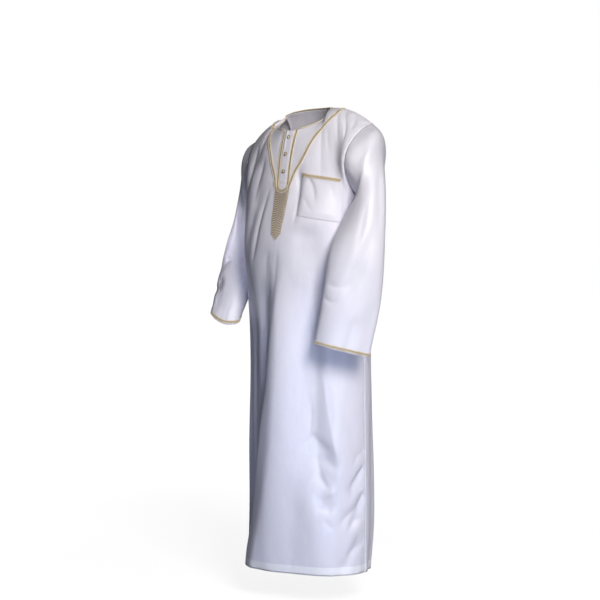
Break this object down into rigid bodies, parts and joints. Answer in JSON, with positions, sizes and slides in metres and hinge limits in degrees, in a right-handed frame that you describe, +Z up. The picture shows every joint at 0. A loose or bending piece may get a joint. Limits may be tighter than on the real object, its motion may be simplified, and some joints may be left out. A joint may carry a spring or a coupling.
{
  "type": "thobe robe",
  "caption": "Long worn thobe robe in pale satin with straight set-in sleeves, a buttoned placket, gold braids, a tie-shaped chest panel and a patch pocket.",
  "frame": {"origin": "middle of the wearer's neck at shoulder height, where the robe hangs from the shoulders", "axes": "+Z up along the robe's length, -Y the way the chest faces, +X the wearer's left"},
  "size_m": [0.6776, 0.4079, 1.4406],
  "materials": {
    "satin": "silky woven satin",
    "gold_braid": "woven metallic-thread braid",
    "pearl_button": "pearly with a gold rim"
  },
  "bodies": {
    "root": {"front_panel": "satin", "back_panel": "satin", "sleeve_left": "satin", "sleeve_right": "satin", "placket": "satin", "chest_pocket": "satin", "neck_trim": "gold_braid", "placket_braid_left": "gold_braid", "placket_braid_right": "gold_braid", "yoke_braid_left": "gold_braid", "yoke_braid_right": "gold_braid", "tie_panel": "gold_braid", "pocket_braid": "gold_braid", "cuff_braid_left": "gold_braid", "cuff_braid_right": "gold_braid", "button_1": "pearl_button", "button_2": "pearl_button", "button_3": "pearl_button"}
  },
  "joints": []
}
